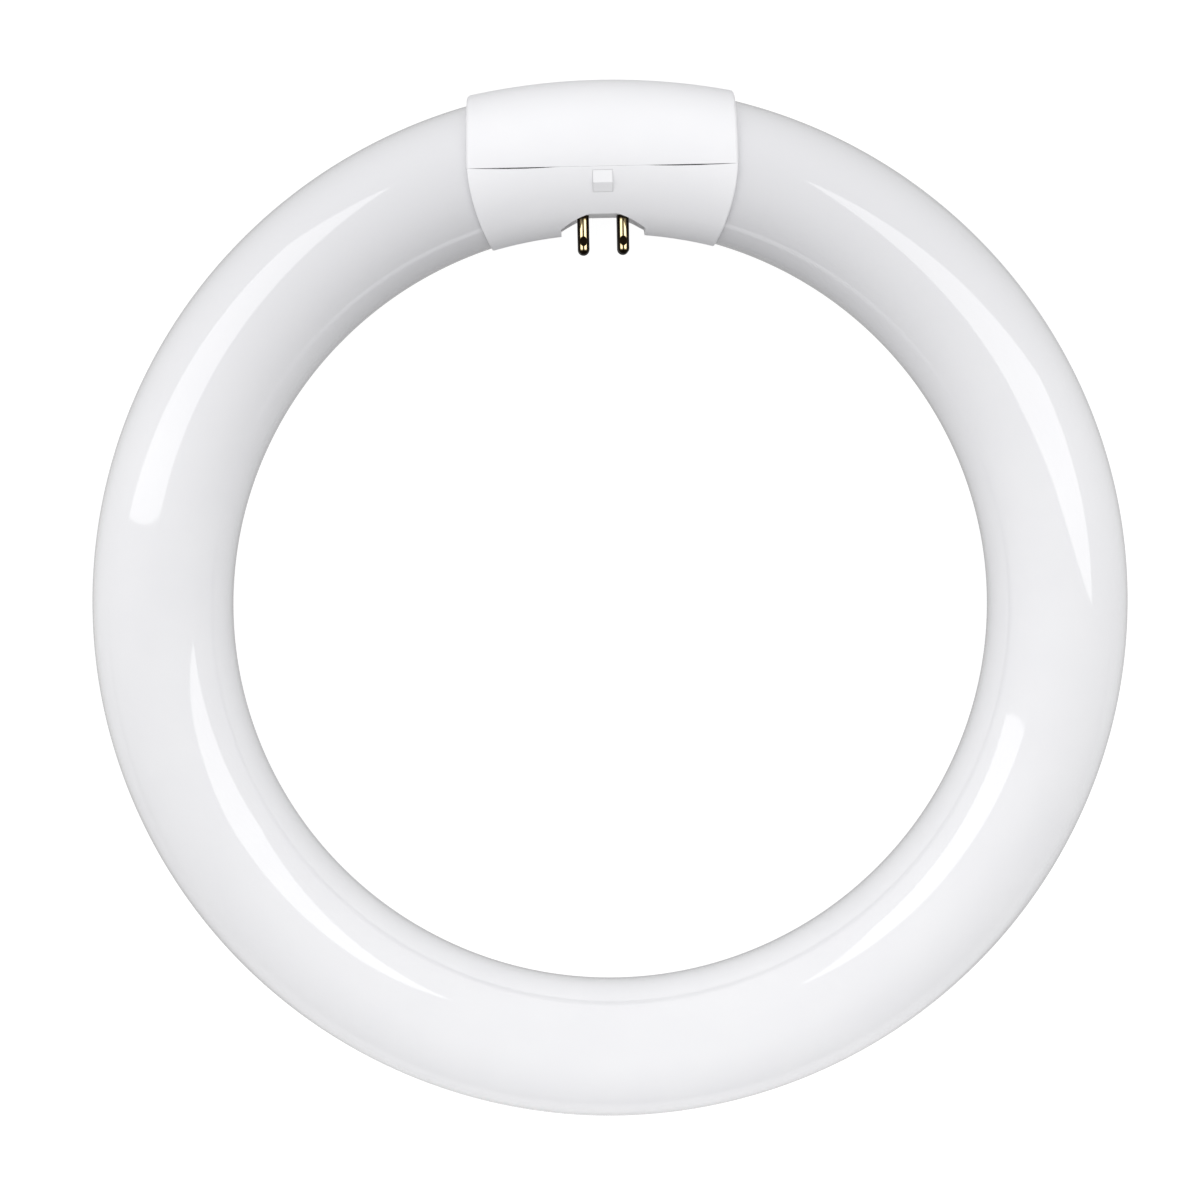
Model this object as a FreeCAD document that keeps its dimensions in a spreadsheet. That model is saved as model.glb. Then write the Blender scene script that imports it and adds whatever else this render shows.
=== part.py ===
"""Circular fluorescent tube: a glass ring whose two ends meet inside a moulded four-pin base.

The ring lies in the XY plane with its centre at the origin. The base is at +Y and its pins point
along -Y, at the ring's centre. Lengths are in millimetres and angles in degrees.
"""
import FreeCAD, Part
import math
import operator
import os
import Sketcher

doc = FreeCAD.newDocument("ring_lamp")

# Driving dimensions
SIZES = {
    # glass ring
    "ring_diameter": 210.0,
    "tube_diameter": 28.2,
    "glass_clearance": 1.5,
    "stem_diameter": 9.0,
    "stem_rim": 1.1,
    "stem_depth": 6.0,
    "tip_diameter": 3.5,
    "tip_length": 4.0,
    # both shells of the base
    "base_length": 52.8,
    "base_offset": 0.15,
    "tube_clearance": 0.1,
    "shell_wall": 0.95,
    "seam_drop": 2.5,
    "outer_flatness": 27.1,
    "inner_flatness": 10.5,
    "outer_end_radius": 0.8,
    "inner_end_radius": 0.25,
    "end_step": 0.1,
    "end_curve": 40.0,
    "seam_round": 0.15,
    "slit_start": 8.0,
    "slit_width": 0.25,
    # snap latches
    "latch_width": 3.9,
    "latch_bar": 0.7,
    "latch_face": 2.4,
    "latch_ramp": 1.8,
    "latch_root": 3.5,
    "latch_thickness": 1.6,
    "latch_clearance": 0.04,
    # pin seat
    "seat_depth": 3.6,
    "seat_width": 16.7,
    "seat_diameter": 20.4,
    "seat_floor": 2.0,
    "seat_wall": 0.9,
    # contact pins
    "pin_pitch_wide": 7.92,
    "pin_pitch_narrow": 6.35,
    "pin_diameter": 2.35,
    "pin_length": 7.75,
    "pin_neck_diameter": 2.5,
    "pin_clearance": 0.05,
    "flange_diameter": 3.6,
    "flange_height": 0.8,
    "pin_tail": 1.2,
    "tail_diameter": 2.1,
    "pin_bore_depth": 6.0,
    "crimp_level": 5.1,
    "crimp_depth": 0.25,
    "crimp_radius": 2.0,
    # lead wires
    "wire_diameter": 0.6,
    "wire_clearance": 0.1,
    "wire_bend": 3.0,
}

sheet = doc.addObject("Spreadsheet::Sheet", "Sizes")
for row, (alias, number) in enumerate(SIZES.items(), start=1):
    sheet.set(f"A{row}", alias)
    sheet.set(f"B{row}", str(number))
    sheet.setAlias(f"B{row}", alias)
doc.recompute()


class Size:
    """A size known twice over: as a number, and as the expression that keeps it tied to the sheet."""

    def __init__(self, value, text):
        self.value = value
        self.text = text

    def __add__(self, other):
        return joined(self, "+", other)

    __radd__ = __add__

    def __sub__(self, other):
        return joined(self, "-", other)

    def __rsub__(self, other):
        return joined(other, "-", self)

    def __mul__(self, other):
        return joined(self, "*", other)

    __rmul__ = __mul__

    def __truediv__(self, other):
        return joined(self, "/", other)

    def __neg__(self):
        return -1 * self


SIGNS = {"+": operator.add, "-": operator.sub, "*": operator.mul, "/": operator.truediv}


def as_size(value):
    return value if isinstance(value, Size) else Size(value, str(value))


def joined(left, sign, right):
    left = as_size(left)
    right = as_size(right)
    return Size(SIGNS[sign](left.value, right.value), f"({left.text} {sign} {right.text})")


def root(square):
    return Size(math.sqrt(square.value), f"sqrt({square.text})")


def arcsine(ratio):
    return Size(math.degrees(math.asin(ratio.value)), f"(asin({ratio.text}) / 1 deg)")


def sine(angle):
    return Size(math.sin(math.radians(angle.value)), f"sin({angle.text})")


def cosine(angle):
    return Size(math.cos(math.radians(angle.value)), f"cos({angle.text})")


def tangent(angle):
    return Size(math.tan(math.radians(angle.value)), f"tan({angle.text})")


def half_chord(radius, distance):
    """Half the width of a circle at a distance from its centre."""
    return root(radius * radius - distance * distance)


def cell(alias):
    return Size(float(getattr(sheet, alias)), f"Sizes.{alias}")


ZERO = Size(0.0, "0")

# Glass ring: its rounded ends stop short of the block that carries the pins
tube_radius = cell("tube_diameter") / 2
ring_radius = cell("ring_diameter") / 2 - tube_radius
seat_half = cell("seat_width") / 2
floor_half = seat_half + cell("seat_wall")
stem_radius = cell("stem_diameter") / 2
shoulder = tube_radius - cell("stem_rim") - stem_radius
bend_end_x = floor_half + cell("glass_clearance") + shoulder
bend_end_y = half_chord(ring_radius, bend_end_x)
bend_end = arcsine(bend_end_x / ring_radius)
stem_floor = shoulder - cell("stem_depth")
tip_radius = cell("tip_diameter") / 2
tip_end = shoulder + cell("tip_length")

# Base: its round section sits slightly outside the tube's centreline
cavity_radius = tube_radius + cell("tube_clearance")
shell_radius = cavity_radius + cell("shell_wall")
shell_y = ring_radius + cell("base_offset")
seam_y = ring_radius - cell("seam_drop")
half_length = cell("base_length") / 2

# Latches: the catch bears on the bar that the window leaves along the seam
window_top = seam_y - cell("latch_bar")
window_bottom = window_top - cell("latch_face") - cell("latch_ramp")
window_half = cell("latch_width") / 2
catch_y = window_top - cell("latch_clearance")
hook_half = window_half - cell("latch_clearance")
hook_end = window_bottom + cell("latch_clearance")

# Pin seat and pins
seat_y = shell_y - shell_radius + cell("seat_depth")
floor_top = seat_y + cell("seat_floor")
pin_x = cell("pin_pitch_wide") / 2
pin_z = cell("pin_pitch_narrow") / 2
pin_radius = cell("pin_diameter") / 2
neck_radius = cell("pin_neck_diameter") / 2
tail_radius = cell("tail_diameter") / 2
tail_top = cell("seat_floor") + cell("flange_height") + cell("pin_tail")
bore_floor = tail_top - cell("pin_bore_depth")
wire_radius = cell("wire_diameter") / 2
bore_radius = wire_radius + cell("wire_clearance")

# Room around a cut, so that it always runs clear of what it trims
MARGIN = 10.0


def origin_part(body, role):
    return next(f for f in body.Origin.OriginFeatures if f.Role == role)


def new_body(label):
    body = doc.addObject("PartDesign::Body", label)
    body.Label = label
    return body


def bind(thing, name, size):
    thing.setExpression(name, as_size(size).text)


def new_sketch(body, name, role, offset=None, turn=None):
    """A sketch on one of the body's own planes, moved and turned within that plane's frame."""
    sketch = body.newObject("Sketcher::SketchObject", name)
    sketch.AttachmentSupport = [(origin_part(body, role), "")]
    sketch.MapMode = "FlatFace"
    for axis, size in (offset or {}).items():
        bind(sketch, f"AttachmentOffset.Base.{axis}", size)
    if turn:
        bind(sketch, "AttachmentOffset.Rotation.Angle", turn)
    return sketch


def constrain(sketch, size, kind, *where):
    size = as_size(size)
    index = sketch.addConstraint(Sketcher.Constraint(kind, *where, size.value))
    bind(sketch, f"Constraints[{index}]", size)


def fix_point(sketch, geometry, end, corner):
    constrain(sketch, corner[0], "DistanceX", -1, 1, geometry, end)
    constrain(sketch, corner[1], "DistanceY", -1, 1, geometry, end)


def circle(sketch, centre, radius):
    """A circle whose centre and radius follow the sheet."""
    centre = [as_size(c) for c in centre]
    middle = FreeCAD.Vector(centre[0].value, centre[1].value, 0)
    shape = Part.Circle(middle, FreeCAD.Vector(0, 0, 1), radius.value)
    index = sketch.addGeometry(shape, False)
    fix_point(sketch, index, 3, centre)
    constrain(sketch, radius, "Radius", index)


def arc_between(start, end, radius):
    """The short arc from start to end, turning left where the radius is positive."""
    chord = end - start
    across = FreeCAD.Vector(-chord.y, chord.x, 0).normalize()
    rise = math.sqrt(max(radius**2 - (chord.Length / 2) ** 2, 0))
    centre = (start + end) / 2 + across * math.copysign(rise, radius)
    ends = (start, end) if radius > 0 else (end, start)
    angles = [math.atan2(p.y - centre.y, p.x - centre.x) for p in ends]
    round_line = Part.Circle(centre, FreeCAD.Vector(0, 0, 1), abs(radius))
    return Part.ArcOfCircle(round_line, angles[0], angles[1])


def run(sketch, corners, closed=True):
    """Lines and arcs from corner to corner. A corner's third value is the radius of the arc after it."""
    corners = [[as_size(v) for v in corner] for corner in corners]
    points = [FreeCAD.Vector(c[0].value, c[1].value, 0) for c in corners]
    count = len(corners) if closed else len(corners) - 1
    pieces = []
    for i in range(count):
        start = points[i]
        end = points[(i + 1) % len(points)]
        if len(corners[i]) == 3:
            radius = corners[i][2]
            index = sketch.addGeometry(arc_between(start, end, radius.value), False)
            size = radius if radius.value > 0 else -radius
            constrain(sketch, size, "Radius", index)
            pieces.append((index, 1, 2) if radius.value > 0 else (index, 2, 1))
        else:
            index = sketch.addGeometry(Part.LineSegment(start, end), False)
            pieces.append((index, 1, 2))
    for i, (index, first, last) in enumerate(pieces):
        fix_point(sketch, index, first, corners[i])
        if closed or i + 1 < count:
            following = pieces[(i + 1) % count]
            sketch.addConstraint(Sketcher.Constraint("Coincident", index, last, following[0], following[1]))
        else:
            fix_point(sketch, index, last, corners[-1])


def rectangle(sketch, left, right, low, high):
    run(sketch, [(left, low), (right, low), (right, high), (left, high)])


def extrude(body, kind, name, sketch, length=None, both_sides=False, reverse=False):
    """A Pad or a Pocket. Without a length, a pocket runs through everything."""
    feature = body.newObject(f"PartDesign::{kind}", name)
    feature.Profile = sketch
    if both_sides:
        feature.SideType = "Symmetric"
    feature.Reversed = reverse
    if length is None:
        feature.Type = "ThroughAll"
    else:
        bind(feature, "Length", length)
    return feature


def turn(body, kind, name, sketch, axis, angle=360.0):
    """A Revolution or a Groove about an axis, half of its angle to each side of the sketch."""
    feature = body.newObject(f"PartDesign::{kind}", name)
    feature.Profile = sketch
    feature.ReferenceAxis = axis
    feature.Midplane = True
    bind(feature, "Angle", angle)
    return feature


def mirror(body, name, feature, role):
    """The feature and its reflection in one of the body's planes."""
    copy = body.newObject("PartDesign::Mirrored", name)
    copy.Originals = [feature]
    copy.MirrorPlane = (origin_part(body, role), [""])
    body.Tip = copy
    return copy


def round_edges(body, name, radius, wanted):
    """A fillet on each edge of the body whose two faces pass the test."""
    doc.recompute()
    last = body.Tip
    shape = last.Shape
    names = []
    for number, edge in enumerate(shape.Edges, start=1):
        faces = shape.ancestorsOfType(edge, Part.Face)
        if len(faces) == 2 and wanted(*faces):
            names.append(f"Edge{number}")
    fillet = body.newObject("PartDesign::Fillet", name)
    fillet.Base = (last, names)
    bind(fillet, "Radius", radius)
    return fillet


def is_outside(face):
    """True for the round outside of a shell."""
    surface = face.Surface
    return isinstance(surface, Part.Toroid) and abs(surface.MinorRadius - shell_radius.value) < 1e-6


def is_end_edge(one, other):
    """True between a shell's round outside and the end where the tube comes out."""
    for end, side in ((one, other), (other, one)):
        straight = isinstance(end.Surface, Part.Plane) and abs(end.Surface.Axis.x) > 0.9
        curved = isinstance(end.Surface, Part.Cylinder) and abs(end.Surface.Axis.z) > 0.9
        if is_outside(side) and (straight or curved):
            return True
    return False


def is_seam_edge(one, other):
    """True between a shell's round outside and its flat on the seam."""
    for flat, side in ((one, other), (other, one)):
        on_seam = isinstance(flat.Surface, Part.Plane) and abs(flat.Surface.Axis.y) > 0.9
        if is_outside(side) and on_seam:
            return True
    return False


# Glass ring: the bent tube, then a rounded, sealed end that is mirrored to the other side
glass = new_body("glass_tube")
tube_section = new_sketch(glass, "TubeSection", "YZ_Plane")
circle(tube_section, (-ring_radius, ZERO), tube_radius)
z_axis = (origin_part(glass, "Z_Axis"), [""])
turn(glass, "Revolution", "BentTube", tube_section, z_axis, 360.0 - 2 * bend_end)

end_section = new_sketch(
    glass, "EndSection", "XY_Plane", {"x": bend_end_x, "y": bend_end_y}, 180.0 - bend_end
)
run(
    end_section,
    [
        (ZERO, ZERO),
        (tip_end, ZERO, tip_radius),
        (tip_end - tip_radius, tip_radius),
        (stem_floor, tip_radius),
        (stem_floor, stem_radius),
        (shoulder, stem_radius),
        (shoulder, tube_radius - shoulder, shoulder),
        (ZERO, tube_radius),
    ],
)
sealed_end = turn(glass, "Revolution", "SealedEnd", end_section, (end_section, ["H_Axis"]))
mirror(glass, "OtherEnd", sealed_end, "YZ_Plane")


def tube_cavity(body):
    """The round way for the tube, cut through a shell's blank."""
    section = new_sketch(body, "CavitySection", "YZ_Plane")
    circle(section, (ring_radius, ZERO), cavity_radius)
    turn(body, "Groove", "TubeCavity", section, (origin_part(body, "Z_Axis"), [""]))


def rounded_outside(body, flatness):
    """Everything outside the shell's round section is turned away, on an arc flatter than the ring's."""
    section = new_sketch(body, "RoundSection", "YZ_Plane")
    reach = shell_radius + MARGIN
    rectangle(section, shell_y - reach, shell_y + reach, -reach, reach)
    circle(section, (shell_y, ZERO), shell_radius)
    axis_y = shell_y - ring_radius - flatness
    ends = [FreeCAD.Vector(axis_y.value, z, 0) for z in (0, MARGIN)]
    axis = section.addGeometry(Part.LineSegment(*ends), True)
    fix_point(section, axis, 1, (axis_y, ZERO))
    fix_point(section, axis, 2, (axis_y, as_size(MARGIN)))
    turn(body, "Groove", "RoundedOutside", section, (section, ["Axis0"]))


blank_depth = 2 * shell_radius + MARGIN

# Outer shell: an arched half sleeve with straight ends and two snap hooks
outer = new_body("outer_shell")
outer_outline = new_sketch(outer, "OuterOutline", "XY_Plane")
rectangle(outer_outline, -half_length, half_length, seam_y, shell_y + shell_radius + 1.0)
extrude(outer, "Pad", "OuterBlank", outer_outline, blank_depth, both_sides=True)
tube_cavity(outer)
rounded_outside(outer, cell("outer_flatness"))
round_edges(outer, "OuterEnds", cell("outer_end_radius"), is_end_edge)

wall_middle = half_chord(cavity_radius, cell("seam_drop")) + cell("shell_wall") / 2
catch_gap = half_chord(cavity_radius, ring_radius - catch_y) - cell("latch_clearance")
catch_face = half_chord(shell_radius, shell_y - catch_y)
hook_tip = half_chord(shell_radius, shell_y - hook_end)
root_top = seam_y + cell("latch_root")
hook_section = new_sketch(outer, "HookSection", "YZ_Plane")
run(
    hook_section,
    [
        (root_top, catch_gap - cell("latch_thickness")),
        (root_top, wall_middle),
        (seam_y, wall_middle),
        (seam_y, catch_gap),
        (catch_y, catch_gap),
        (catch_y, catch_face),
        (catch_y - cell("latch_face"), catch_face),
        (hook_end, hook_tip),
        (hook_end, hook_tip - cell("latch_thickness") / 2),
    ],
)
hook = extrude(outer, "Pad", "SnapHook", hook_section, 2 * hook_half, both_sides=True)
mirror(outer, "OtherHook", hook, "XY_Plane")

# Inner shell: ends that curve in from the outer shell's, a sunk pin seat with a thick floor, and a
# window for each hook
inner = new_body("inner_shell")
top_half = half_length - cell("end_step")
blank_low = shell_y - shell_radius - MARGIN
curve_x = top_half - half_chord(cell("end_curve"), shell_y - seam_y)
low_half = curve_x + half_chord(cell("end_curve"), shell_y - blank_low)
inner_outline = new_sketch(inner, "InnerOutline", "XY_Plane")
run(
    inner_outline,
    [
        (-low_half, blank_low),
        (low_half, blank_low, cell("end_curve")),
        (top_half, seam_y),
        (-top_half, seam_y, cell("end_curve")),
    ],
)
extrude(inner, "Pad", "InnerBlank", inner_outline, blank_depth, both_sides=True)
tube_cavity(inner)

floor_outline = new_sketch(inner, "FloorOutline", "XY_Plane")
rectangle(floor_outline, -floor_half, floor_half, blank_low, floor_top)
floor_depth = 2 * half_chord(shell_radius, shell_y - floor_top)
extrude(inner, "Pad", "SeatFloor", floor_outline, floor_depth, both_sides=True)
rounded_outside(inner, cell("inner_flatness"))
round_edges(inner, "InnerSeam", cell("seam_round"), is_seam_edge)
round_edges(inner, "InnerEnds", cell("inner_end_radius"), is_end_edge)

# The XZ plane looks along -Y, so a sketch at height y is moved by -y along its own normal
seat_outline = new_sketch(inner, "SeatOutline", "XZ_Plane", {"z": -seat_y})
seat_radius = cell("seat_diameter") / 2
seat_chord = half_chord(seat_radius, seat_half)
run(
    seat_outline,
    [
        (-seat_half, -seat_chord, seat_radius),
        (seat_half, -seat_chord),
        (seat_half, seat_chord, seat_radius),
        (-seat_half, seat_chord),
    ],
)
extrude(inner, "Pocket", "PinSeat", seat_outline, reverse=True)

hole_outline = new_sketch(inner, "PinHoles", "XZ_Plane", {"z": -seat_y})
for x in (-pin_x, pin_x):
    for z in (-pin_z, pin_z):
        circle(hole_outline, (x, z), neck_radius + cell("pin_clearance"))
extrude(inner, "Pocket", "PinHolesThrough", hole_outline, cell("seat_floor") + 1.0)

window_outline = new_sketch(inner, "LatchWindow", "XY_Plane")
rectangle(window_outline, -window_half, window_half, window_bottom, window_top)
extrude(inner, "Pocket", "LatchWindows", window_outline, both_sides=True)

# A shallow hollow along each side of the seam leaves a fine slit under the outer shell
slit_outline = new_sketch(inner, "SeamSlits", "XY_Plane")
slit_half = (top_half - cell("slit_start")) / 2
slit_arc = (slit_half * slit_half / cell("slit_width") + cell("slit_width")) / 2
for near, far in ((cell("slit_start"), top_half), (-top_half, -cell("slit_start"))):
    run(slit_outline, [(near, seam_y, slit_arc), (far, seam_y)])
extrude(inner, "Pocket", "SeamHollows", slit_outline, both_sides=True)

# Contact pins: turned in the pin's own frame, with the seat at y = 0 and the tip at -y
places = [(-pin_x, pin_z), (pin_x, pin_z), (-pin_x, -pin_z), (pin_x, -pin_z)]
for number, (x, z) in enumerate(places, start=1):
    pin = new_body(f"contact_pin_{number}")
    pin_section = new_sketch(pin, "PinSection", "XY_Plane")
    flange_low = cell("seat_floor")
    flange_top = flange_low + cell("flange_height")
    flange_radius = cell("flange_diameter") / 2
    run(
        pin_section,
        [
            (ZERO, -cell("pin_length"), pin_radius),
            (pin_radius, pin_radius - cell("pin_length")),
            (pin_radius, ZERO),
            (neck_radius, ZERO),
            (neck_radius, flange_low),
            (flange_radius, flange_low),
            (flange_radius, flange_top),
            (tail_radius, flange_top),
            (tail_radius, tail_top),
            (bore_radius, tail_top),
            (bore_radius, bore_floor),
            (ZERO, bore_floor),
        ],
    )
    turn(pin, "Revolution", "TurnedPin", pin_section, (pin_section, ["V_Axis"]))
    crimp_section = new_sketch(pin, "CrimpSection", "YZ_Plane")
    crimp_centre = pin_radius - cell("crimp_depth") + cell("crimp_radius")
    for side in (-1, 1):
        circle(crimp_section, (-cell("crimp_level"), side * crimp_centre), cell("crimp_radius"))
    extrude(pin, "Pocket", "CrimpMarks", crimp_section, both_sides=True)
    bind(pin, "Placement.Base.x", x)
    bind(pin, "Placement.Base.y", seat_y)
    bind(pin, "Placement.Base.z", z)

# Lead wires: straight out of the stem, one bend, then straight down into the pin
wire_end_y = seat_y + bore_floor
stem_x = bend_end_x - stem_floor * cosine(bend_end)
stem_y = bend_end_y + stem_floor * sine(bend_end)
corner_y = stem_y + (stem_x - pin_x) * tangent(bend_end)
bend_reach = cell("wire_bend") * tangent(45.0 + bend_end / 2)
for number, (side, z) in enumerate([(-1, pin_z), (1, pin_z), (-1, -pin_z), (1, -pin_z)], start=1):
    wire = new_body(f"lead_wire_{number}")
    route = new_sketch(wire, "WireRoute", "XY_Plane")
    bend = -side * cell("wire_bend")
    run(
        route,
        [
            (side * pin_x, wire_end_y),
            (side * pin_x, corner_y - bend_reach, bend),
            (side * (pin_x + bend_reach * cosine(bend_end)), corner_y - bend_reach * sine(bend_end)),
            (side * stem_x, stem_y),
        ],
        closed=False,
    )
    wire_section = new_sketch(wire, "WireSection", "XZ_Plane", {"x": side * pin_x, "z": -wire_end_y})
    circle(wire_section, (ZERO, ZERO), wire_radius)
    lead = wire.newObject("PartDesign::AdditivePipe", "BentWire")
    lead.Profile = wire_section
    lead.Spine = (route, [])
    bind(wire, "Placement.Base.z", z)

doc.recompute()

# Each piece is checked, then written under its own label
os.makedirs("parts", exist_ok=True)
for thing in doc.Objects:
    if "Invalid" in thing.State or "Error" in thing.State:
        raise RuntimeError(f"{thing.Name} did not build: {thing.State}")
for body in doc.findObjects("PartDesign::Body"):
    shape = body.Shape
    if shape.isNull() or not shape.isValid() or len(shape.Solids) != 1:
        raise RuntimeError(f"{body.Label} is not one sound solid")
    shape.exportStep(f"parts/{body.Label}.step")
    box = shape.BoundBox
    corners = (box.XMin, box.XMax, box.YMin, box.YMax, box.ZMin, box.ZMax)
    print(body.Label, f"{shape.Volume:.3f} mm3", [round(c, 3) for c in corners])
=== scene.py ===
# %% [markdown]
# # A circular fluorescent tube
# The lamp is a ring of glass, white inside with phosphor powder, whose two ends meet in a small
# plastic base. The base is two half shells that snap together over the glass, and four brass pins
# stand out of it into the ring. The solids were built to size beforehand, so this lesson starts by
# loading them as a fixed frame. Everything made here goes where those solids say, in metres.

# %% Load the frame
import math

import bmesh
import bpy
from mathutils import Matrix, Vector


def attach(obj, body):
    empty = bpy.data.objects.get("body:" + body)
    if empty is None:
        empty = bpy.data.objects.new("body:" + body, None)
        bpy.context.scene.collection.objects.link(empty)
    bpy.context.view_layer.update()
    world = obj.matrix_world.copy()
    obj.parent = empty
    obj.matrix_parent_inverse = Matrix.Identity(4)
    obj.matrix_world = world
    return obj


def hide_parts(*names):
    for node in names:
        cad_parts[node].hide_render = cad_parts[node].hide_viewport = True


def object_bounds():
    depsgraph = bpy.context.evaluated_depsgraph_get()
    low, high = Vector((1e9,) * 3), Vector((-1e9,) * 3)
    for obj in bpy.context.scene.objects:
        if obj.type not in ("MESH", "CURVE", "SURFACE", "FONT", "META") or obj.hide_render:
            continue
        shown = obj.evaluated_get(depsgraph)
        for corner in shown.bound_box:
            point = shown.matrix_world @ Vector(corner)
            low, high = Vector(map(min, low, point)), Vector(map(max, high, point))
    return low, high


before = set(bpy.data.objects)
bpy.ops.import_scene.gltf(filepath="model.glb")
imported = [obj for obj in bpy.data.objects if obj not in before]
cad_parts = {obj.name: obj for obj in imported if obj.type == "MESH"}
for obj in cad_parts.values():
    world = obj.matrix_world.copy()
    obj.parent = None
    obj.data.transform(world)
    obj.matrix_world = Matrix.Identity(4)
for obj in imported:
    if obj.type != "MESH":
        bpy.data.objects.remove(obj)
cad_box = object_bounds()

MM = 0.001
print("solids:", ", ".join(sorted(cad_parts)))
print("box of the solids:", [tuple(round(v / MM, 2) for v in corner) for corner in cad_box])

# %% [markdown]
# ## Helpers for colours and nodes
# Colours are easiest to pick as the hex codes of a screen, but the shaders count light, which is
# linear, so one function converts them. Node trees are much quicker to read when a node, its
# settings and its links are one line, so another helper adds a node in one call: an input that is
# given a socket is linked to it, and any other input is simply set. That last part is a function of
# its own, because a new material comes with its shader. Inputs go by name or by number. Numbers are
# needed where names repeat, as on a Mix node, whose colours A and B are 6 and 7. On a Map Range, 1
# and 2 are the range that is read, and 3 and 4 the range that it becomes.

# %% Colour and node helpers
def linear(hex_code):
    channels = [int(hex_code[i:i + 2], 16) / 255 for i in (1, 3, 5)]
    return [c / 12.92 if c <= 0.04045 else ((c + 0.055) / 1.055) ** 2.4 for c in channels] + [1.0]


def fill(tree, node, inputs):
    for key, value in inputs.items():
        if isinstance(value, bpy.types.NodeSocket):
            tree.links.new(value, node.inputs[key])
        else:
            node.inputs[key].default_value = value


def add(tree, kind, inputs=None, **settings):
    node = tree.nodes.new(kind)
    for name, value in settings.items():
        setattr(node, name, value)
    fill(tree, node, inputs or {})
    return node


def new_material(name):
    material = bpy.data.materials.new(name)
    material.use_nodes = True
    tree = material.node_tree
    place = add(tree, "ShaderNodeTexCoord").outputs["Object"]
    return material, tree, tree.nodes["Principled BSDF"], place


print("a mid grey, #808080, is", round(linear("#808080")[0], 3), "in linear light")

# %% [markdown]
# ## Phosphor-coated glass
# The tube is drawn soda-lime glass, clear and very smooth, with a matt white powder baked onto its
# inside. The eye sees the powder's soft white and, on top, sharp mirror streaks from the glass.
# One Principled shader does both: a nearly white base colour is the powder, and a low roughness
# with the index of soda-lime glass, 1.52, is the wall in front of it. A full coat adds the second
# mirror image, which comes from the inside of the wall. The powder is washed down the tube and
# drains unevenly, so the white is slightly cloudy. Towards the base the white is painted a little
# greyer: painted shade, for the light that falls off on that side of the ring. The last bit before
# each seal is wiped clean, so that the glass can be melted shut, and there one looks into the dark
# inside. A drawn tube is never quite true, so a faint, long bump makes the edges of the streaks
# waver.

# %% Material for the glass
coated_glass, tree, shader, place = new_material("phosphor_coated_soda_lime_glass")
cloud_size, smear_size, wave_length = 14 * MM, 6 * MM, 24 * MM
powder_clouds = add(tree, "ShaderNodeTexNoise", {"Vector": place, "Scale": 1 / cloud_size, "Detail": 3.0})
powder_white = add(tree, "ShaderNodeMix", {
    0: powder_clouds.outputs[0], 6: linear("#EEEEF1"), 7: linear("#F4F4F6")}, data_type="RGBA")
where = add(tree, "ShaderNodeSeparateXYZ", {0: place}).outputs
# Painted shade: the glass white turns greyer as Y rises towards the base.
white_until, grey_from = 20 * MM, 95 * MM
painted_shade_share = add(tree, "ShaderNodeMapRange", {
    "Value": where["Y"], 1: white_until, 2: grey_from}, interpolation_type="SMOOTHSTEP").outputs[0]
powder_white = add(tree, "ShaderNodeMix", {
    0: painted_shade_share, 6: powder_white.outputs[2], 7: linear("#E1E1E4")}, data_type="RGBA")
to_middle = add(tree, "ShaderNodeMath", {0: where["X"]}, operation="ABSOLUTE").outputs[0]
powder_edge, bare_edge = 21 * MM, 19 * MM
ring_side, base_side = 60 * MM, 70 * MM
wiped = 1.0
for value, coated, bare in ((to_middle, powder_edge, bare_edge), (where["Y"], ring_side, base_side)):
    there = add(tree, "ShaderNodeMapRange", {"Value": value, 1: coated, 2: bare}).outputs[0]
    wiped = add(tree, "ShaderNodeMath", {0: there, 1: wiped}, operation="MULTIPLY").outputs[0]
powder_white = add(tree, "ShaderNodeMix", {
    0: wiped, 6: powder_white.outputs[2], 7: linear("#2C2D2F")}, data_type="RGBA")
smear = add(tree, "ShaderNodeTexNoise", {"Vector": place, "Scale": 1 / smear_size, "Detail": 2.0})
polish = add(tree, "ShaderNodeMapRange", {"Value": smear.outputs[0], 3: 0.035, 4: 0.07})
draw_waves = add(tree, "ShaderNodeTexNoise", {"Vector": place, "Scale": 1 / wave_length, "Detail": 1.0})
ripple = add(tree, "ShaderNodeBump", {
    "Height": draw_waves.outputs[0], "Strength": 0.25, "Distance": 0.2 * MM}).outputs[0]
fill(tree, shader, {
    "Base Color": powder_white.outputs[2], "Roughness": polish.outputs[0], "Normal": ripple, "IOR": 1.52,
    "Coat Weight": 1.0, "Coat IOR": 1.5, "Coat Roughness": 0.03, "Coat Normal": ripple})
print("made", coated_glass.name)

# %% [markdown]
# ## Moulded white plastic
# The two shells are injection-moulded in a white heat-proof plastic such as polycarbonate. The
# mould leaves a fine spark-eroded grain, so the surface is satin: it shows the lamps as a broad
# soft glow and not as a mirror. The grain of about 0.3 mm is drawn at 0.5 mm, because a finer one
# would only be noise at this distance. A second, much larger cloud stands for the flow of the
# melt, which changes the gloss a little from place to place.

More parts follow.
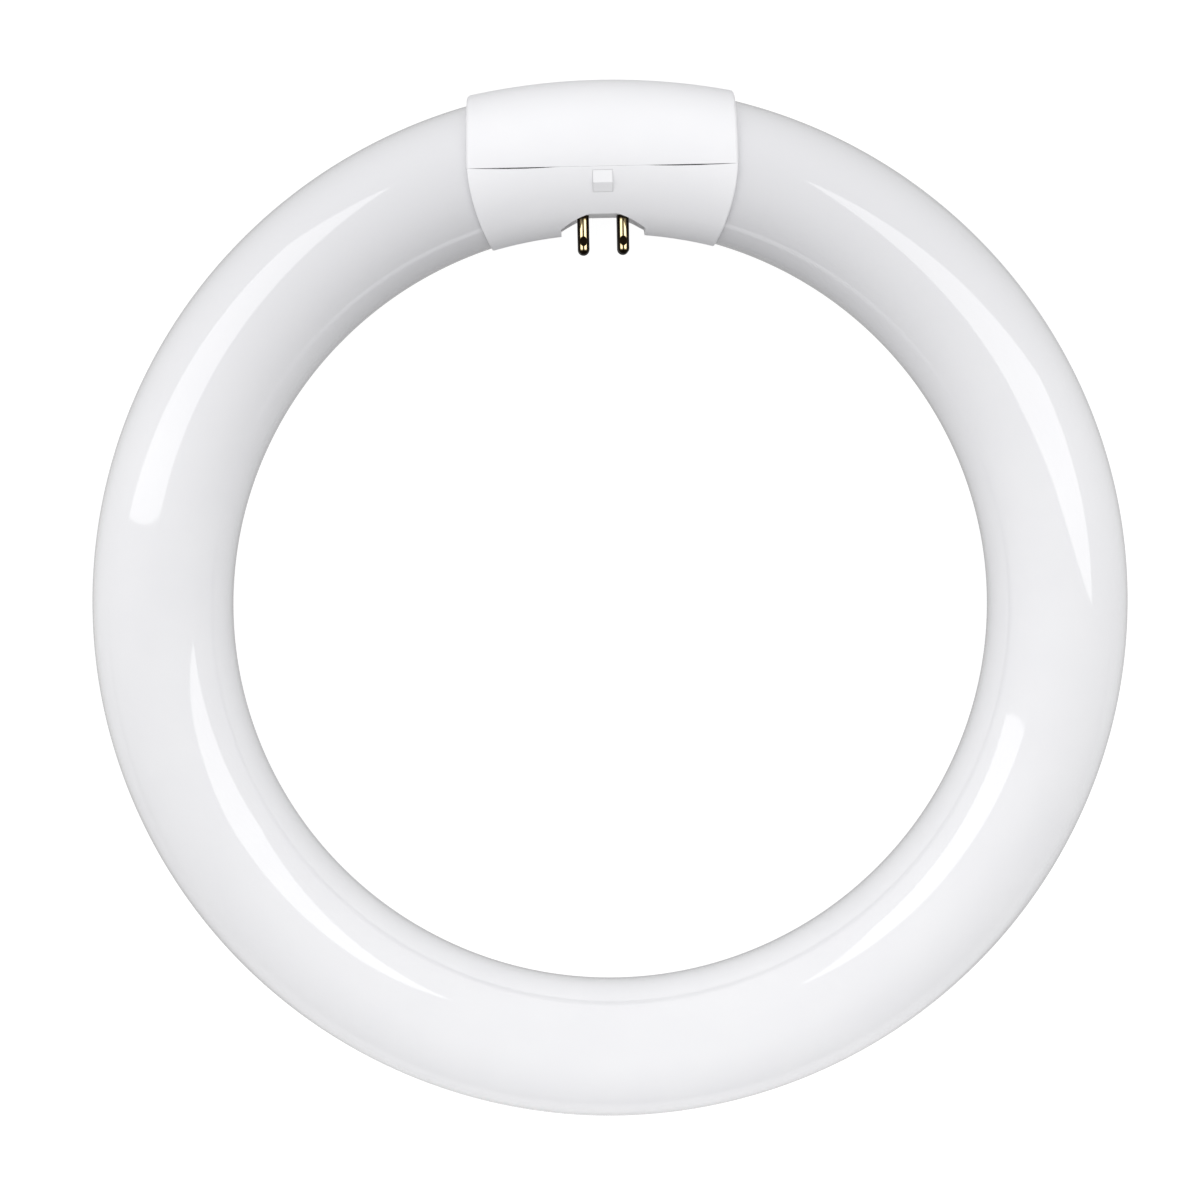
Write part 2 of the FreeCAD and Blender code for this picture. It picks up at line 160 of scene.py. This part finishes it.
# %% Material for the shells
moulded_plastic, tree, shader, place = new_material("moulded_white_polycarbonate")
flow_size, grain_size = 9 * MM, 0.5 * MM
melt_flow = add(tree, "ShaderNodeTexNoise", {"Vector": place, "Scale": 1 / flow_size, "Detail": 3.0})
shell_white = add(tree, "ShaderNodeMix", {
    0: melt_flow.outputs[0], 6: linear("#F2F2F5"), 7: linear("#F6F6F8")}, data_type="RGBA")
satin = add(tree, "ShaderNodeMapRange", {"Value": melt_flow.outputs[0], 3: 0.36, 4: 0.46})
mould_grain = add(tree, "ShaderNodeTexNoise", {"Vector": place, "Scale": 1 / grain_size, "Detail": 2.0})
grain_bump = add(tree, "ShaderNodeBump", {
    "Height": mould_grain.outputs[0], "Strength": 0.12, "Distance": 0.02 * MM})
fill(tree, shader, {
    "Base Color": shell_white.outputs[2], "Roughness": satin.outputs[0],
    "Normal": grain_bump.outputs[0], "IOR": 1.58})
print("made", moulded_plastic.name)

# %% [markdown]
# ## Drawn brass and plated wire
# The pins are drawn brass. Their colour carries painted reflections: two bright lines along the
# top and the underside of each pin are painted highlights, and the flanks, the tip and the pressed
# marks are painted dark, as painted reflections of dark surroundings. How far a point lies from the
# middle of its pin, and how deep the punch pressed it, come with the mesh as two attributes, which
# the pin tree stores further down. Stretching a noise along Y, the way that the pins point, gives
# the fine lines of drawing and plugging in. The lead wires behind are plated iron-nickel, greyer
# and duller. Both are pure metals to the shader, so their index of refraction stays at its default.

# %% Materials for the pins and wires
pin_brass, tree, shader, place = new_material("drawn_brass")
line_width, line_length = 0.12 * MM, 2.0 * MM
along_pin = add(tree, "ShaderNodeMapping", {
    "Vector": place, "Scale": (1.0, line_width / line_length, 1.0)})
draw_lines = add(tree, "ShaderNodeTexNoise", {
    "Vector": along_pin.outputs[0], "Scale": 1 / line_width, "Detail": 3.0})
across_pin = add(tree, "ShaderNodeAttribute", attribute_name="across_pin").outputs["Fac"]
across_pin = add(tree, "ShaderNodeMath", {0: across_pin}, operation="ABSOLUTE").outputs[0]
pressed = add(tree, "ShaderNodeAttribute", attribute_name="pressed_depth").outputs["Fac"]
along_y = add(tree, "ShaderNodeSeparateXYZ", {0: place}).outputs["Y"]
pin_seat, pin_length = 79.5, 7.75
pin_tip = pin_seat - pin_length

# What is measured, where the painted dark reflection stays, and where the painted highlight is full, in
# mm.
painted_highlight_limits = (
    (across_pin, 0.08, 0.2),
    (across_pin, 0.68, 0.5),
    (pressed, 0.02, 0.0),
    (along_y, pin_tip + 0.75, pin_tip + 1.15),
    (along_y, pin_seat - 0.5, pin_seat - 1.1))
painted_highlight_mask = 1.0
for value, dark, bright in painted_highlight_limits:
    there = add(tree, "ShaderNodeMapRange", {
        "Value": value, 1: dark * MM, 2: bright * MM}, interpolation_type="SMOOTHSTEP").outputs[0]
    painted_highlight_mask = add(tree, "ShaderNodeMath", {0: there, 1: painted_highlight_mask}, operation="MULTIPLY").outputs[0]
# Painted reflections: near-black brass for the dark surroundings, pale brass for the highlight lines.
painted_dark_reflection = add(tree, "ShaderNodeMix", {
    0: draw_lines.outputs[0], 6: linear("#140F08"), 7: linear("#2B2115")}, data_type="RGBA").outputs[2]
painted_highlight_brass = add(tree, "ShaderNodeMix", {
    0: draw_lines.outputs[0], 6: linear("#E2C47A"), 7: linear("#F8EBC6")}, data_type="RGBA").outputs[2]
brass_colour = add(tree, "ShaderNodeMix", {0: painted_highlight_mask, 6: painted_dark_reflection, 7: painted_highlight_brass}, data_type="RGBA")
brass_polish = add(tree, "ShaderNodeMapRange", {"Value": painted_highlight_mask, 3: 0.35, 4: 0.1})
fill(tree, shader, {
    "Base Color": brass_colour.outputs[2], "Roughness": brass_polish.outputs[0], "Metallic": 1.0})

lead_metal, tree, shader, place = new_material("plated_nickel_iron_wire")
spot_size = 1.5 * MM
tarnish = add(tree, "ShaderNodeTexNoise", {"Vector": place, "Scale": 1 / spot_size, "Detail": 3.0})
lead_colour = add(tree, "ShaderNodeMix", {
    0: tarnish.outputs[0], 6: linear("#8F8A80"), 7: linear("#C4C0B6")}, data_type="RGBA")
lead_polish = add(tree, "ShaderNodeMapRange", {"Value": tarnish.outputs[0], 3: 0.25, 4: 0.45})
fill(tree, shader, {
    "Base Color": lead_colour.outputs[2], "Roughness": lead_polish.outputs[0], "Metallic": 1.0})
print("made", pin_brass.name, "and", lead_metal.name)

# %% [markdown]
# ## A node tree that turns a section on a bend
# Glass and pins are both turned shapes: a section spun round an axis. The only difference is that
# the glass was bent into a ring afterwards. So one Geometry Nodes tree serves both. It reads the
# section as a wire, whose X is the distance along the axis and whose Y is the radius, lays a grid
# with one row for each wire point, spins every row round the axis, and then wraps the axis on a
# circle. Past the end of the bend the axis runs on straight. A curve with a bevel could make the
# plain tube, but not the closed ends with their hollow stems, and this keeps the whole glass in
# one mesh.

# %% The turning tree
turned = bpy.data.node_groups.new("turned_on_a_bend", "GeometryNodeTree")
turned.is_modifier = True
for name, kind in (("Section", "NodeSocketGeometry"), ("Bend radius", "NodeSocketFloat"),
                   ("Half bend", "NodeSocketFloat"), ("Sides", "NodeSocketInt"),
                   ("Finish", "NodeSocketMaterial")):
    turned.interface.new_socket(name=name, in_out="INPUT", socket_type=kind)
turned.interface.new_socket(name="Mesh", in_out="OUTPUT", socket_type="NodeSocketGeometry")

sizes = add(turned, "NodeGroupInput").outputs
bend_radius, half_bend_angle = sizes["Bend radius"], sizes["Half bend"]
rows = add(turned, "GeometryNodeAttributeDomainSize", {0: sizes["Section"]}).outputs["Point Count"]
columns = add(turned, "ShaderNodeMath", {0: sizes["Sides"], 1: 1.0}, operation="ADD").outputs[0]
grid = add(turned, "GeometryNodeMeshGrid", {"Vertices X": rows, "Vertices Y": columns}).outputs[0]
index = add(turned, "GeometryNodeInputIndex").outputs[0]
row = add(turned, "ShaderNodeMath", {0: index, 1: columns}, operation="DIVIDE").outputs[0]
row = add(turned, "ShaderNodeMath", {0: row}, operation="FLOOR").outputs[0]
column = add(turned, "ShaderNodeMath", {0: index, 1: columns}, operation="MODULO").outputs[0]
step = add(turned, "ShaderNodeMath", {0: math.tau, 1: sizes["Sides"]}, operation="DIVIDE").outputs[0]
spin = add(turned, "ShaderNodeMath", {0: column, 1: step}, operation="MULTIPLY").outputs[0]

point = add(turned, "GeometryNodeInputPosition").outputs[0]
section = add(turned, "GeometryNodeSampleIndex", {
    "Geometry": sizes["Section"], "Value": point, "Index": row}, data_type="FLOAT_VECTOR")
section = add(turned, "ShaderNodeSeparateXYZ", {0: section.outputs[0]}).outputs
across = add(turned, "ShaderNodeMath", {0: spin}, operation="COSINE").outputs[0]
across = add(turned, "ShaderNodeMath", {
    0: across, 1: section["Y"], 2: bend_radius}, operation="MULTIPLY_ADD").outputs[0]
across = add(turned, "ShaderNodeMath", {0: across, 1: -1.0}, operation="MULTIPLY").outputs[0]
height = add(turned, "ShaderNodeMath", {0: spin}, operation="SINE").outputs[0]
height = add(turned, "ShaderNodeMath", {0: height, 1: section["Y"]}, operation="MULTIPLY").outputs[0]

other_end = add(turned, "ShaderNodeMath", {0: half_bend_angle, 1: -1.0}, operation="MULTIPLY").outputs[0]
bend = add(turned, "ShaderNodeMath", {0: section["X"], 1: bend_radius}, operation="DIVIDE").outputs[0]
bend = add(turned, "ShaderNodeClamp", {"Value": bend, "Min": other_end, "Max": half_bend_angle}).outputs[0]
straight = add(turned, "ShaderNodeMath", {0: bend, 1: bend_radius}, operation="MULTIPLY").outputs[0]
straight = add(turned, "ShaderNodeMath", {0: section["X"], 1: straight}, operation="SUBTRACT").outputs[0]
spun = add(turned, "ShaderNodeCombineXYZ", {"X": straight, "Y": across, "Z": height}).outputs[0]
bent = add(turned, "ShaderNodeVectorRotate", {
    "Vector": spun, "Angle": bend}, rotation_type="Z_AXIS").outputs[0]

weld = 0.001 * MM
mesh = add(turned, "GeometryNodeSetPosition", {"Geometry": grid, "Position": bent}).outputs[0]
mesh = add(turned, "GeometryNodeMergeByDistance", {"Geometry": mesh, "Distance": weld}).outputs[0]
mesh = add(turned, "GeometryNodeRealizeInstances", {"Geometry": mesh}).outputs[0]
mesh = add(turned, "GeometryNodeSetMaterial", {"Geometry": mesh, "Material": sizes["Finish"]}).outputs[0]
add(turned, "NodeGroupOutput", {0: mesh})
print(turned.name, "has", len(turned.nodes), "nodes")

# %% [markdown]
# ## From a section to a plain mesh
# A section starts as a wire of points. The next helper gives the wire object its modifier, sets
# the sizes by the sockets' identifiers before anything is evaluated, and then asks Blender for the
# evaluated result as an ordinary mesh. The modifier is removed, so what is left is a plain object
# at the origin. Corners sharper than 35 degrees stay sharp, and everything else is shaded smooth.

# %% Helpers for sections and meshes
def wire(name, points):
    mesh = bpy.data.meshes.new(name)
    edges = [(i, i + 1) for i in range(len(points) - 1)]
    mesh.from_pydata([(x * MM, y * MM, 0) for x, y in points], edges, [])
    piece = bpy.data.objects.new(name, mesh)
    bpy.context.scene.collection.objects.link(piece)
    return piece


def arc(centre, radius, start, end, steps):
    angles = [math.radians(start + (end - start) * i / steps) for i in range(steps + 1)]
    return [(centre[0] + radius * math.sin(a), centre[1] + radius * math.cos(a)) for a in angles]


def build(piece, tree, sizes):
    modifier = piece.modifiers.new(tree.name, "NODES")
    modifier.node_group = tree
    for item in tree.interface.items_tree:
        if item.in_out == "INPUT" and item.name in sizes:
            modifier[item.identifier] = sizes[item.name]
    evaluated = piece.evaluated_get(bpy.context.evaluated_depsgraph_get())
    mesh = bpy.data.meshes.new_from_object(evaluated)
    piece.modifiers.remove(modifier)
    old, piece.data = piece.data, mesh
    bpy.data.meshes.remove(old)
    solid = bmesh.new()
    solid.from_mesh(mesh)
    bmesh.ops.recalc_face_normals(solid, faces=solid.faces)
    triangles = sum(len(face.verts) - 2 for face in solid.faces)
    volume = round(solid.calc_volume() / MM ** 3, 1)
    print(piece.name, len(mesh.vertices), "points,", triangles, "triangles,", volume, "mm3")
    solid.to_mesh(mesh)
    solid.free()
    mesh.polygons.foreach_set("use_smooth", [True] * len(mesh.polygons))
    mesh.set_sharp_from_angle(angle=math.radians(35))
    return piece


# %% [markdown]
# ## The glass ring
# The ring is 210 mm across and the tube 28.2 mm thick. The bend stops about 12 degrees short of
# the top on each side. There a rounded shoulder of 8.5 mm draws the glass in to a flat rim, and in
# the middle of the rim is a hollow stem with the sealed exhaust tip. Those ends are hidden in the
# base, but a lamp in a parts library is taken apart, so they are here. The section is written from
# one tip to the other, and the long plain part gets a point every degree or so.

# %% Build the glass ring
tube_radius, ring_radius = 14.1, 90.9
stem_radius, stem_floor, tip_radius, tip_end = 4.5, 2.5, 1.75, 12.5
shoulder = 8.5
bend_end_x = 19.25
half_bend = math.pi - math.asin(bend_end_x / ring_radius)
half_length = ring_radius * half_bend

glass_end = arc((0, tube_radius - shoulder), shoulder, 0, 90, steps=16)[1:]
glass_end += [(shoulder, stem_radius), (stem_floor, stem_radius), (stem_floor, tip_radius)]
glass_end += arc((tip_end - tip_radius, 0), tip_radius, 0, 90, steps=8)
bends = 360
plain = [(half_length * (2 * i / bends - 1), tube_radius) for i in range(bends + 1)]
glass_section = [(-half_length - x, r) for x, r in reversed(glass_end)] + plain
glass_section += [(half_length + x, r) for x, r in glass_end]

glass_ring = build(wire("glass_ring", glass_section), turned, {
    "Bend radius": ring_radius * MM, "Half bend": half_bend, "Sides": 96, "Finish": coated_glass})
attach(glass_ring, "root")
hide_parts("glass_tube")

# %% [markdown]
# ## The contact pins
# Four equal brass pins stand on the corners of a small rectangle. Each is a turned shape again: a
# round tip, the shank, a flange that sits behind the plastic, and a hollow tail that takes the
# wire. After the wire is in, a punch squeezes the shank from above and below, which leaves the two
# shallow marks. The second tree reuses the first one for a single pin, lets the punch press its
# round face into the shank, and puts a copy on each point of a two by two grid.

# %% The pin tree
pin_set = bpy.data.node_groups.new("crimped_pins", "GeometryNodeTree")
pin_set.is_modifier = True
for name, kind in (("Section", "NodeSocketGeometry"), ("Sides", "NodeSocketInt"),
                   ("Crimp level", "NodeSocketFloat"), ("Crimp radius", "NodeSocketFloat"),
                   ("Crimp centre", "NodeSocketFloat"), ("Pitch across", "NodeSocketFloat"),
                   ("Pitch up", "NodeSocketFloat"), ("Seat", "NodeSocketFloat"),
                   ("Finish", "NodeSocketMaterial")):
    pin_set.interface.new_socket(name=name, in_out="INPUT", socket_type=kind)
pin_set.interface.new_socket(name="Mesh", in_out="OUTPUT", socket_type="NodeSocketGeometry")

sizes = add(pin_set, "NodeGroupInput").outputs
pin = add(pin_set, "GeometryNodeGroup", node_tree=turned)
for name in ("Section", "Sides", "Finish"):
    pin_set.links.new(sizes[name], pin.inputs[name])
pin = add(pin_set, "GeometryNodeTransform", {
    "Geometry": pin.outputs[0], "Rotation": (0.0, 0.0, -math.pi / 2)}).outputs[0]

point = add(pin_set, "GeometryNodeInputPosition").outputs[0]
point = add(pin_set, "ShaderNodeSeparateXYZ", {0: point}).outputs
offset = add(pin_set, "ShaderNodeMath", {
    0: point["Y"], 1: sizes["Crimp level"]}, operation="ADD").outputs[0]
offset = add(pin_set, "ShaderNodeMath", {0: offset, 1: offset}, operation="MULTIPLY").outputs[0]
reach = add(pin_set, "ShaderNodeMath", {0: sizes["Crimp radius"], 1: 2.0}, operation="POWER").outputs[0]
reach = add(pin_set, "ShaderNodeMath", {0: reach, 1: offset}, operation="SUBTRACT").outputs[0]
reach = add(pin_set, "ShaderNodeMath", {0: reach, 1: 0.0}, operation="MAXIMUM").outputs[0]
reach = add(pin_set, "ShaderNodeMath", {0: reach}, operation="SQRT").outputs[0]
limit = add(pin_set, "ShaderNodeMath", {
    0: sizes["Crimp centre"], 1: reach}, operation="SUBTRACT").outputs[0]
below = add(pin_set, "ShaderNodeMath", {0: limit, 1: -1.0}, operation="MULTIPLY").outputs[0]
depth = add(pin_set, "ShaderNodeMath", {0: point["Z"]}, operation="ABSOLUTE").outputs[0]
depth = add(pin_set, "ShaderNodeMath", {0: depth, 1: limit}, operation="SUBTRACT").outputs[0]
# These two attributes steer the painted highlights and painted dark reflections of the brass.
for name, value in (("pressed_depth", depth), ("across_pin", point["X"])):
    pin = add(pin_set, "GeometryNodeStoreNamedAttribute", {
        "Geometry": pin, "Name": name, "Value": value}).outputs[0]
pressed = add(pin_set, "ShaderNodeClamp", {"Value": point["Z"], "Min": below, "Max": limit}).outputs[0]
pressed = add(pin_set, "ShaderNodeCombineXYZ", {"X": point["X"], "Y": point["Y"], "Z": pressed}).outputs[0]
pin = add(pin_set, "GeometryNodeSetPosition", {"Geometry": pin, "Position": pressed}).outputs[0]

corners = add(pin_set, "GeometryNodeMeshGrid", {
    "Size X": sizes["Pitch across"], "Size Y": sizes["Pitch up"],
    "Vertices X": 2, "Vertices Y": 2}).outputs[0]
seat = add(pin_set, "ShaderNodeCombineXYZ", {"Y": sizes["Seat"]}).outputs[0]
corners = add(pin_set, "GeometryNodeTransform", {
    "Geometry": corners, "Translation": seat, "Rotation": (math.pi / 2, 0.0, 0.0)}).outputs[0]
pins = add(pin_set, "GeometryNodeInstanceOnPoints", {"Points": corners, "Instance": pin}).outputs[0]
pins = add(pin_set, "GeometryNodeRealizeInstances", {"Geometry": pins}).outputs[0]
pins = add(pin_set, "GeometryNodeSetMaterial", {"Geometry": pins, "Material": sizes["Finish"]}).outputs[0]
add(pin_set, "NodeGroupOutput", {0: pins})
print(pin_set.name, "has", len(pin_set.nodes), "nodes")

# %% Build the pins
pin_radius, neck_radius, seat_floor = 1.175, 1.25, 2.0
flange_radius, flange_top, tail_radius, tail_top = 1.8, 2.8, 1.05, 4.0
bore_radius, bore_floor = 0.4, 2.0
crimp_level, crimp_depth, crimp_radius = 5.1, 0.25, 2.0
pitch_across, pitch_up = 7.92, 6.35

shank = pin_length - pin_radius
shank_rows = 80
pin_section = [(bore_floor, 0.0), (bore_floor, bore_radius), (-tail_top, bore_radius),
               (-tail_top, tail_radius), (-flange_top, tail_radius), (-flange_top, flange_radius),
               (-seat_floor, flange_radius), (-seat_floor, neck_radius), (0.0, neck_radius),
               (0.0, pin_radius)]
pin_section += [(shank * i / shank_rows, pin_radius) for i in range(1, shank_rows)]
pin_section += arc((shank, 0), pin_radius, 0, 90, steps=16)

contact_pins = build(wire("contact_pins", pin_section), pin_set, {
    "Sides": 64, "Crimp level": crimp_level * MM, "Crimp radius": crimp_radius * MM,
    "Crimp centre": (pin_radius - crimp_depth + crimp_radius) * MM,
    "Pitch across": pitch_across * MM, "Pitch up": pitch_up * MM, "Seat": pin_seat * MM,
    "Finish": pin_brass})
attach(contact_pins, "root")
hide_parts(*["contact_pin_%d" % i for i in (1, 2, 3, 4)])

# %% [markdown]
# ## The shells and the wires
# The two half shells and the four lead wires already have the right shape as solids, so they stay
# as they are and only get their finish, by putting the new material in the slot that each object
# already has.

# %% Finish the shells and the wires
finishes = {"outer_shell": moulded_plastic, "inner_shell": moulded_plastic}
finishes.update({"lead_wire_%d" % i: lead_metal for i in (1, 2, 3, 4)})
for name, finish in finishes.items():
    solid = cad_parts[name]
    solid.material_slots[0].material = finish
    print(name, len(solid.data.polygons), "faces, now", finish.name)

# %% [markdown]
# ## The floor
# A floor does three jobs in a picture: the camera sees it, it throws light back up at the lamp, and
# the glass mirrors it. An object's ray visibility says which rays meet it, so each job can have a
# sheet of its own. The one for the camera is plain white, mostly by a glow of its own, so that its
# shadows stay faint. The one that throws light back is bright in front of the lamp and dim behind it.
# The one for mirror images is only a bright strip in front, which fades out, so that the rest of the
# glass keeps its dark rim.

# %% A helper for the sheets
floor_level = cad_box[0][2]


def lay_sheet(name, level, reach):
    mesh = bpy.data.meshes.new(name)
    corners = [(x * reach, y * reach, level) for x, y in ((-1, -1), (1, -1), (1, 1), (-1, 1))]
    mesh.from_pydata(corners, [], [(0, 1, 2, 3)])
    sheet = bpy.data.objects.new(name, mesh)
    bpy.context.scene.collection.objects.link(sheet)
    material, tree, shader, place = new_material(name)
    fill(tree, shader, {"Roughness": 0.9, "Specular IOR Level": 0.0, "Emission Color": linear("#FFFFFF")})
    mesh.materials.append(material)
    print(name, "at", round(level / MM, 2), "mm, reaching", reach, "m")
    return sheet, tree, shader, place


# %% Lay the floor
studio_floor, tree, shader, _ = lay_sheet("studio_floor", floor_level, reach=20)
studio_floor.visible_diffuse = studio_floor.visible_glossy = studio_floor.visible_shadow = False
fill(tree, shader, {"Base Color": linear("#6A6A6A"), "Emission Strength": 0.95})

bounce_sheet, tree, shader, place = lay_sheet("bounce_sheet", floor_level - 0.2 * MM, reach=3)
bounce_sheet.visible_camera = bounce_sheet.visible_glossy = False
bright_until, glow_end, dim_from = -110 * MM, 40 * MM, 80 * MM
to_back = add(tree, "ShaderNodeSeparateXYZ", {0: place}).outputs["Y"]
dim = add(tree, "ShaderNodeMapRange", {"Value": to_back, 1: bright_until, 2: dim_from}).outputs[0]
grey = add(tree, "ShaderNodeMix", {0: dim, 6: linear("#FAFAFA"), 7: linear("#5A5A5A")}, data_type="RGBA")
glow = add(tree, "ShaderNodeMapRange", {"Value": to_back, 1: bright_until, 2: glow_end, 3: 0.22, 4: 0.0})
fill(tree, shader, {"Base Color": grey.outputs[2], "Emission Strength": glow.outputs[0]})

mirror_sheet, tree, shader, place = lay_sheet("mirror_sheet", floor_level - 0.1 * MM, reach=3)
mirror_sheet.visible_camera = mirror_sheet.visible_diffuse = mirror_sheet.visible_shadow = False
strip_fades = ((-400 * MM, -115 * MM), (-80 * MM, -105 * MM))
to_back = add(tree, "ShaderNodeSeparateXYZ", {0: place}).outputs["Y"]
cover = 1.0
for faded, full in strip_fades:
    there = add(tree, "ShaderNodeMapRange", {"Value": to_back, 1: faded, 2: full}).outputs[0]
    cover = add(tree, "ShaderNodeMath", {0: there, 1: cover}, operation="MULTIPLY").outputs[0]
fill(tree, shader, {"Base Color": linear("#000000"), "Emission Strength": 0.62, "Alpha": cover})

# %% [markdown]
# ## The light
# The streaks on the glass are the mirror images of two softboxes, one above on the left and one
# above on the right. Each streak on the outside of the ring has a partner on the inside, and the
# two together fix how far away the box is, how large it is and how it is tilted. A small card in
# front, turned down at the ring, lifts the side away from the base and stays out of mirror images.

# %% Softboxes and card
def placed(centre, right, out):
    turn = Matrix((right, out.cross(right), out)).transposed().to_4x4()
    return Matrix.Translation(Vector(centre) * MM) @ turn


def softbox(name, centre, normal, side, size, power):
    lamp = bpy.data.lights.new(name, "AREA")
    lamp.shape, lamp.size, lamp.size_y, lamp.energy = "RECTANGLE", size[0] * MM, size[1] * MM, power
    box = bpy.data.objects.new(name, lamp)
    out = Vector(normal).normalized()
    right = (Vector(side) - out * out.dot(Vector(side))).normalized()
    box.matrix_world = placed(centre, right, out)
    box.visible_camera = False
    bpy.context.scene.collection.objects.link(box)
    print(name, "at", centre, "mm,", size, "mm,", power, "W")
    return box


softbox("softbox_left", centre=(-382, 314, 480), normal=(-0.572, -0.544, 0.614),
        side=(0.211, -0.821, -0.531), size=(692, 358), power=1.05)
softbox("softbox_right", centre=(338, 112, 428), normal=(0.352, 0.179, 0.919),
        side=(0.085, 0.971, -0.222), size=(289, 404), power=0.52)
front_card = softbox("front_card", centre=(0, -185, 60), normal=(0, -0.843, 0.538),
                     side=(1, 0, 0), size=(300, 80), power=0.08)
front_card.visible_glossy = False

# %% [markdown]
# ## The light tent
# The rest of the light is soft and comes from all round, as in a tent of white cloth. The world does
# that without any image: each of the tent's six walls has a strength, and a ray that looks between
# walls gets a blend of them. The squares of a direction's X, Y and Z always add up to one, so they
# serve as the shares of the blend.

# %% Put up the tent
wall_strengths = {"X": (1.02, 0.87), "Y": (0.0, 1.16), "Z": (0.45, 0.68)}
tent = bpy.data.worlds.new("light_tent")
tent.use_nodes = True
tree = tent.node_tree
ray = add(tree, "ShaderNodeTexCoord").outputs["Generated"]
ways = add(tree, "ShaderNodeSeparateXYZ", {0: ray}).outputs
walls = []
for axis, (low, high) in wall_strengths.items():
    ahead = add(tree, "ShaderNodeMath", {0: ways[axis], 1: 0.0}, operation="GREATER_THAN").outputs[0]
    walls.append(add(tree, "ShaderNodeMapRange", {"Value": ahead, 3: low, 4: high}).outputs[0])
wall = add(tree, "ShaderNodeCombineXYZ", dict(enumerate(walls))).outputs[0]
share = add(tree, "ShaderNodeVectorMath", {0: ray, 1: ray}, operation="MULTIPLY").outputs[0]
glow = add(tree, "ShaderNodeVectorMath", {0: share, 1: wall}, operation="DOT_PRODUCT").outputs["Value"]
fill(tree, tree.nodes["Background"], {"Color": linear("#FFFFFF"), "Strength": glow})
bpy.context.scene.world = tent
bpy.context.scene.view_settings.view_transform = "Standard"
print("tent walls, low and high:", wall_strengths)

# %% [markdown]
# ## The camera
# The picture looks straight down on the ring from half a metre, a little from the side of the
# base. The camera's axes are worked out from where it stands and where it aims, which keeps the
# picture upright without any constraint.

# %% Set the camera
stand, aim = Vector((-5.72, 56.67, 499.95)), Vector((-2.16, 2.25, 0))
top = Vector((0.02094, 0.9998, 0))
back = (stand - aim).normalized()
right = top.cross(back).normalized()
lens = bpy.data.cameras.new("view")
lens.sensor_width, lens.lens, lens.clip_start = 36.0, 74.19, 0.01
view = bpy.data.objects.new("view", lens)
view.matrix_world = placed(stand, right, back)
bpy.context.scene.collection.objects.link(view)
bpy.context.scene.camera = view
print("camera", round((stand - aim).length, 1), "mm from its aim")
